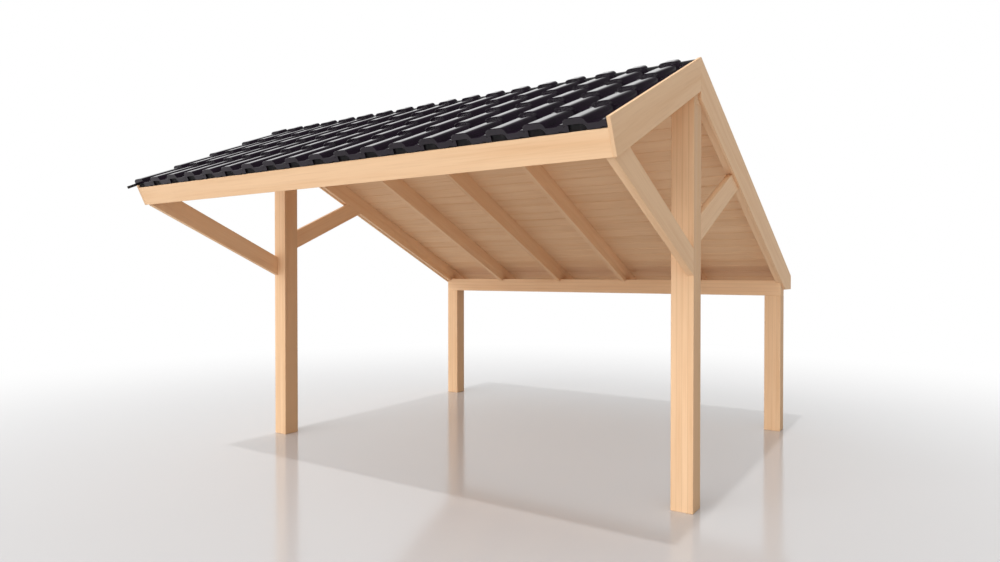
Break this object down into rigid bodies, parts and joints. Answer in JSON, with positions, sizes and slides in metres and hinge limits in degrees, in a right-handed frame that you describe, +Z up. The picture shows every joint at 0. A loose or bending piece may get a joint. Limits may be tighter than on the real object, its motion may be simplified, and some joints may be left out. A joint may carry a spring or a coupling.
{
  "type": "open timber pole barn",
  "caption": "Open-sided timber pole barn: square posts, knee braces and an unequal-sloped gable roof with boarded soffit and glazed black tiles.",
  "frame": {"origin": "at ground level, under the middle of the roof's outline", "axes": "+X along the ridge to the viewer's right, +Y from the high open front to the low rear eave, +Z up"},
  "size_m": [5.508, 6.1174, 3.929],
  "materials": {
    "timber": "planed softwood, clear oiled",
    "boards": "planed softwood boards",
    "tiles": "glazed black clay tile"
  },
  "bodies": {
    "root": {"front_post_left": "timber", "front_post_right": "timber", "rear_post_left": "timber", "rear_post_right": "timber", "rear_beam": "timber", "ridge_beam": "timber", "front_rafter_1": "timber", "front_rafter_2": "timber", "front_rafter_3": "timber", "front_rafter_4": "timber", "front_rafter_5": "timber", "front_rafter_6": "timber", "rear_rafter_1": "timber", "rear_rafter_2": "timber", "rear_rafter_3": "timber", "rear_rafter_4": "timber", "rear_rafter_5": "timber", "rear_rafter_6": "timber", "front_brace_left": "timber", "front_brace_right": "timber", "rear_brace_left": "timber", "rear_brace_right": "timber", "front_roof_boards": "boards", "rear_roof_boards": "boards", "front_battens": "boards", "rear_battens": "boards", "front_eave_board": "boards", "rear_eave_board": "boards", "front_verge_board_left": "boards", "front_verge_board_right": "boards", "rear_verge_board_left": "boards", "rear_verge_board_right": "boards", "front_verge_strip": "tiles", "rear_verge_strip": "tiles", "front_tiles": "tiles", "rear_tiles": "tiles"}
  },
  "joints": []
}
